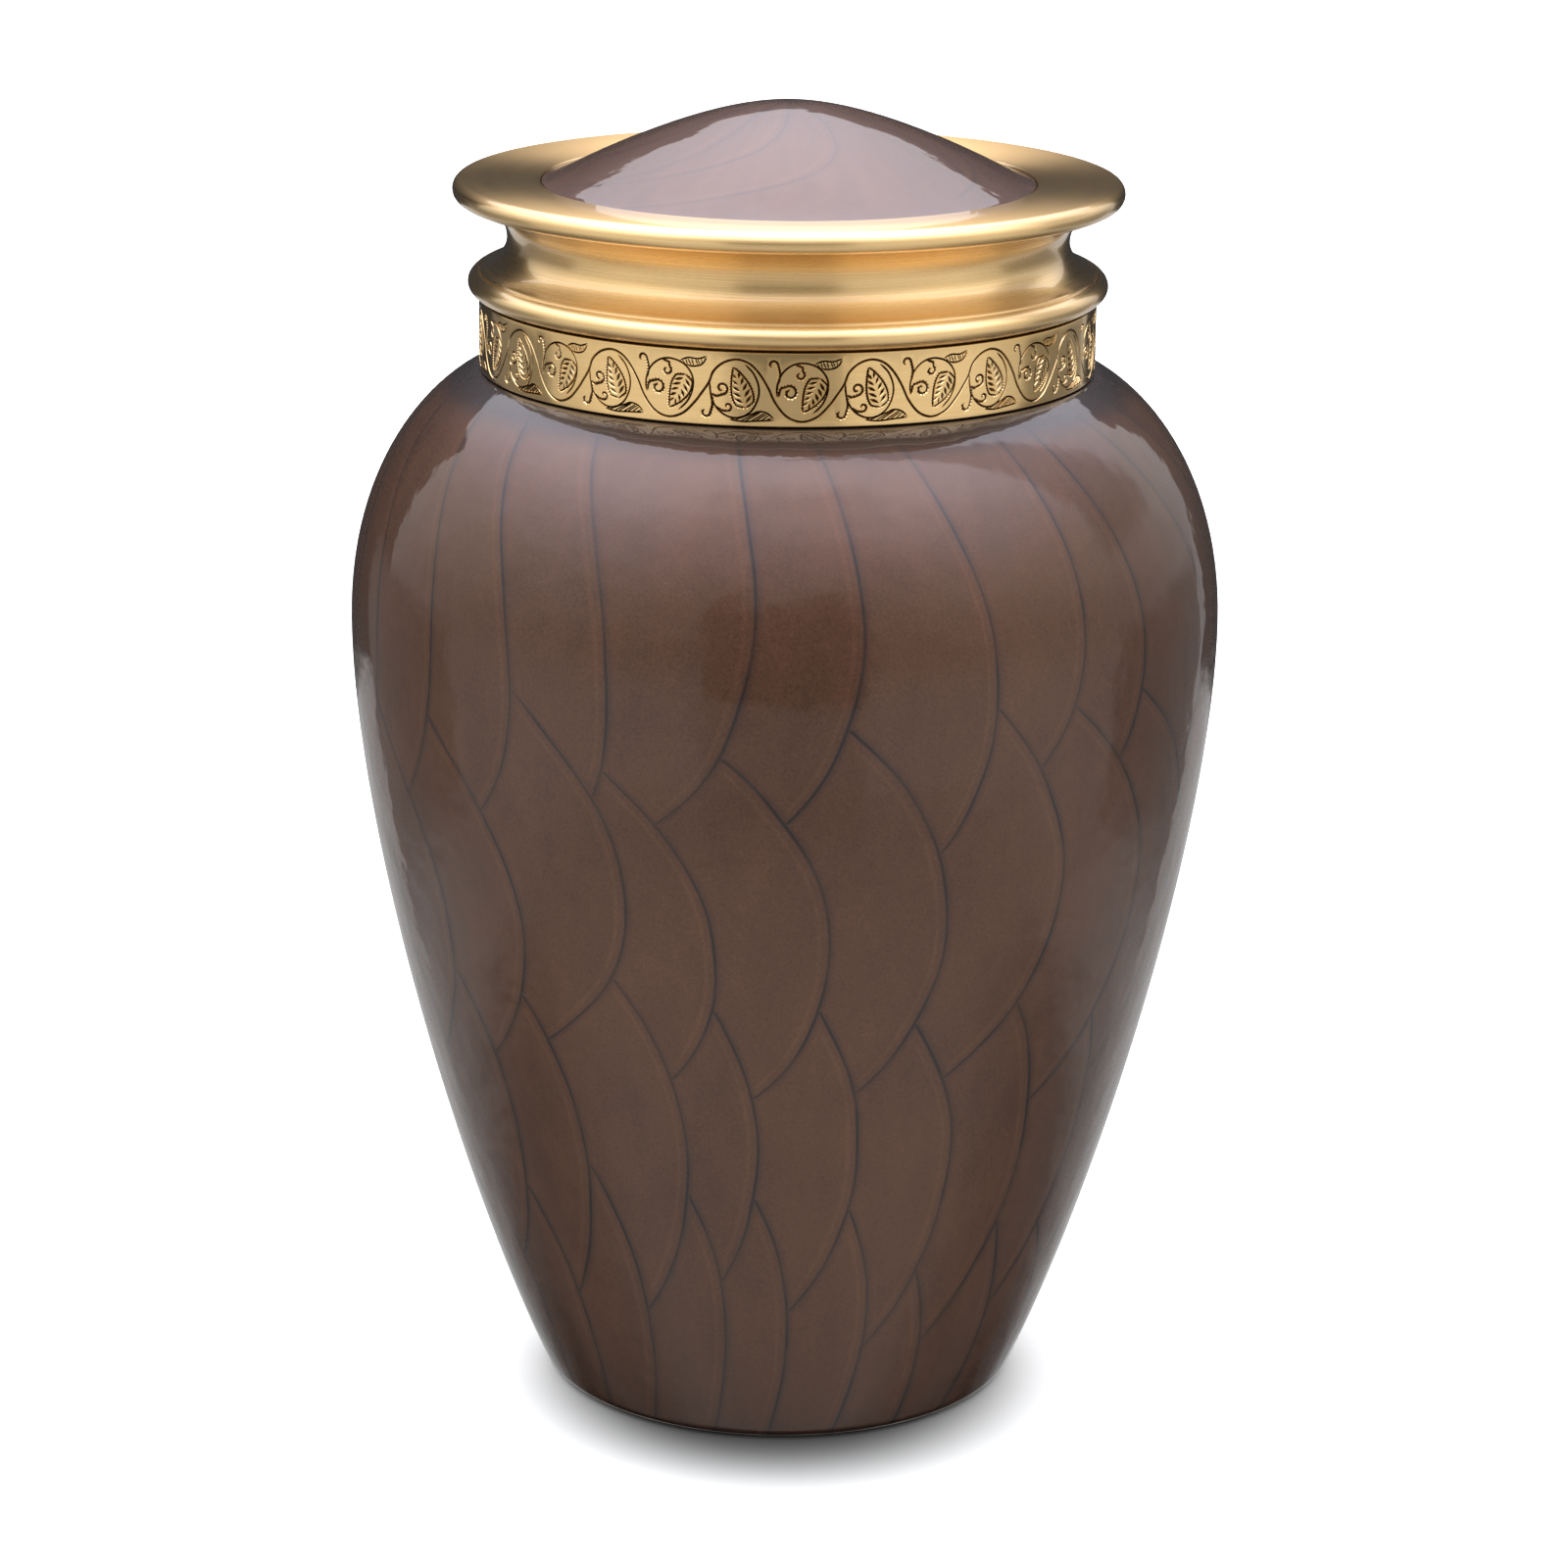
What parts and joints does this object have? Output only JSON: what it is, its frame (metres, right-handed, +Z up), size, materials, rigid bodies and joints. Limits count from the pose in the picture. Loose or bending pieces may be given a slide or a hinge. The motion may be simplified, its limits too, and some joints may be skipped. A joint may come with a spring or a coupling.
{
  "type": "cremation urn",
  "caption": "Hollow footless shouldered urn in pearl enamel, with an engraved brass neck band and a lift-off lid: a moulded brass ring carrying an enamelled dome.",
  "frame": {"origin": "centre of the flat underside that the urn stands on", "axes": "+Z up along the urn's axis, -Y towards the front that the picture shows"},
  "size_m": [0.175, 0.175, 0.2642],
  "materials": {
    "pearl_enamel": "brown pearl enamel on brass under a high-gloss clear coat, with thin dark wisps",
    "satin_brass": "lacquered satin brass, brushed round the axis, dark in the engraved lines"
  },
  "bodies": {
    "root": {"vessel": "pearl_enamel", "engraved_band": "satin_brass", "lid_ring": "satin_brass", "lid_dome": "pearl_enamel"}
  },
  "joints": []
}
